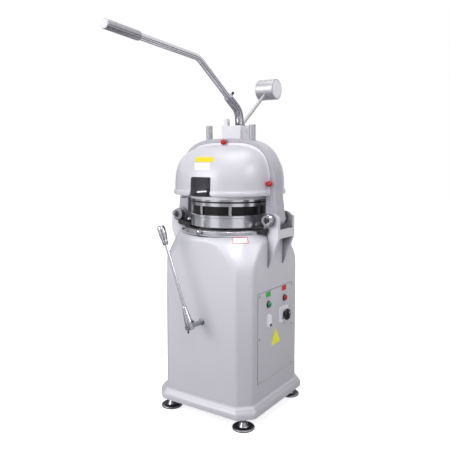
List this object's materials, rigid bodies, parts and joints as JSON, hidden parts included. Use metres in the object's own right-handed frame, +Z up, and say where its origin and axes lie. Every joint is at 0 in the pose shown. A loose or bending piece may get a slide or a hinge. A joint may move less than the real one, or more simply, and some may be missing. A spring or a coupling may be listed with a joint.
{
  "type": "dough divider rounder",
  "caption": "Semi-automatic dough divider and rounder: a hand-lever press head with a domed cover tilts on a grey floor cabinet with a motor-driven rounding table.",
  "frame": {"origin": "on the floor under the middle of the cabinet", "axes": "+Z up, -Y towards the operator and the hand lever's grip, +X towards the control panel"},
  "size_m": [0.67, 1.3259, 1.8561],
  "materials": {
    "silver_paint": "satin light silver-grey paint",
    "chrome": "polished chrome plate",
    "steel": "turned or ground steel",
    "alloy": "cast and turned aluminium alloy",
    "dark_iron": "cast iron",
    "motor_paint": "grey-blue motor paint",
    "stand_paint": "dark grey paint",
    "white_plastic": "food-grade white plastic",
    "grey_plastic": "light grey plastic",
    "black_plastic": "black plastic",
    "red_plastic": "glossy red plastic",
    "green_plastic": "glossy green plastic",
    "belt_rubber": "black belt rubber"
  },
  "bodies": {
    "frame": {"base_plinth": "silver_paint", "body_shell": "silver_paint", "bowl_flange": "chrome", "front_catch": "chrome", "left_bracket": "silver_paint", "right_bracket": "silver_paint", "bracket_bolts": "steel", "pivot_pins": "chrome", "control_panel": "silver_paint", "rear_panel": "silver_paint", "cover_screws": "chrome", "foot_pads": "chrome", "foot_studs": "chrome", "button_bezels": "chrome", "switch_plate": "grey_plastic", "panel_lock": "chrome", "contact_blocks": "black_plastic", "cable_gland": "black_plastic", "motor": "motor_paint", "motor_stand": "stand_paint", "drive_belt": "belt_rubber", "shaft_bearings": "steel", "bearing_carrier": "dark_iron", "lever_bush": "steel"},
    "start": {"start_button": "green_plastic"},
    "stop": {"stop_button": "red_plastic"},
    "switch": {"switch_knob": "black_plastic"},
    "lock": {"lock_cylinder": "steel"},
    "rotor": {"motor_shaft": "steel", "motor_pulley": "dark_iron"},
    "eccentric": {"eccentric_shaft": "steel", "drive_pulley": "dark_iron"},
    "table": {"rounding_table": "alloy", "table_bearing": "steel", "moulding_plate": "white_plastic"},
    "rounding_lever": {"rounding_shaft": "steel", "rounding_socket": "chrome", "rounding_rod": "chrome", "rounding_grip": "chrome", "clutch_arm": "dark_iron"},
    "head": {"yoke": "silver_paint", "front_cover": "silver_paint", "rear_cover": "silver_paint", "cover_knobs": "red_plastic", "hub_block": "silver_paint"},
    "lever": {"pinion_shaft": "steel", "lever_socket": "chrome", "lever_tube": "chrome", "lever_grip": "chrome", "lever_clamp_screw": "black_plastic", "counterweight_arm": "steel", "counterweight": "silver_paint"},
    "press": {"guide_posts": "chrome", "press_rack": "steel", "press_column": "steel", "press_disc": "alloy", "cage": "chrome", "chamber_ring": "chrome", "knife_grid": "alloy"},
    "lock_handle": {"lock_handle": "chrome"}
  },
  "joints": [
    {"name": "head_tilt", "type": "hinge", "parent": "frame", "child": "head", "pos_m": [0.28, -0.015, 1.012], "axis": [0, 1, 0], "range_deg": [0, 70]},
    {"name": "press_lever", "type": "hinge", "parent": "head", "child": "lever", "pos_m": [0, 0.0555, 1.462], "axis": [1, 0, 0], "range_deg": [0, 50]},
    {"name": "press_slide", "type": "slide", "parent": "head", "child": "press", "axis": [0, 0, -1], "range_m": [0, 0.028]},
    {"name": "lock_turn", "type": "hinge", "parent": "press", "child": "lock_handle", "pos_m": [0, -0.015, 1.1156], "axis": [0, 0, 1], "range_deg": [0, 20]},
    {"name": "eccentric_spin", "type": "hinge", "parent": "frame", "child": "eccentric", "pos_m": [0, -0.015, 0.7], "axis": [0, 0, 1], "continuous": true},
    {"name": "table_orbit", "type": "hinge", "parent": "eccentric", "child": "table", "pos_m": [0.01, -0.015, 0.9], "axis": [0, 0, 1], "continuous": true},
    {"name": "motor_spin", "type": "hinge", "parent": "frame", "child": "rotor", "pos_m": [0, 0.15, 0.45], "axis": [0, 0, 1], "continuous": true},
    {"name": "rounding_swing", "type": "hinge", "parent": "frame", "child": "rounding_lever", "pos_m": [0.008, -0.375, 0.505], "axis": [0, 1, 0], "range_deg": [0, 40]},
    {"name": "start_push", "type": "slide", "parent": "frame", "child": "start", "axis": [-1, 0, 0], "range_m": [0, 0.004], "stiffness_N_per_m": 600, "springref_m": -0.004},
    {"name": "stop_push", "type": "slide", "parent": "frame", "child": "stop", "axis": [-1, 0, 0], "range_m": [0, 0.004], "stiffness_N_per_m": 600, "springref_m": -0.004},
    {"name": "switch_turn", "type": "hinge", "parent": "frame", "child": "switch", "pos_m": [0.281, 0.074, 0.505], "axis": [1, 0, 0], "range_deg": [0, 90]},
    {"name": "lock_key_turn", "type": "hinge", "parent": "frame", "child": "lock", "pos_m": [0.27, -0.08, 0.485], "axis": [1, 0, 0], "range_deg": [0, 90]}
  ],
  "couplings": [
    {"joint": "press_slide", "follows": "press_lever", "m_per_rad": 0.032},
    {"joint": "table_orbit", "follows": "eccentric_spin", "ratio": -1},
    {"joint": "motor_spin", "follows": "eccentric_spin", "ratio": 2.3316}
  ]
}
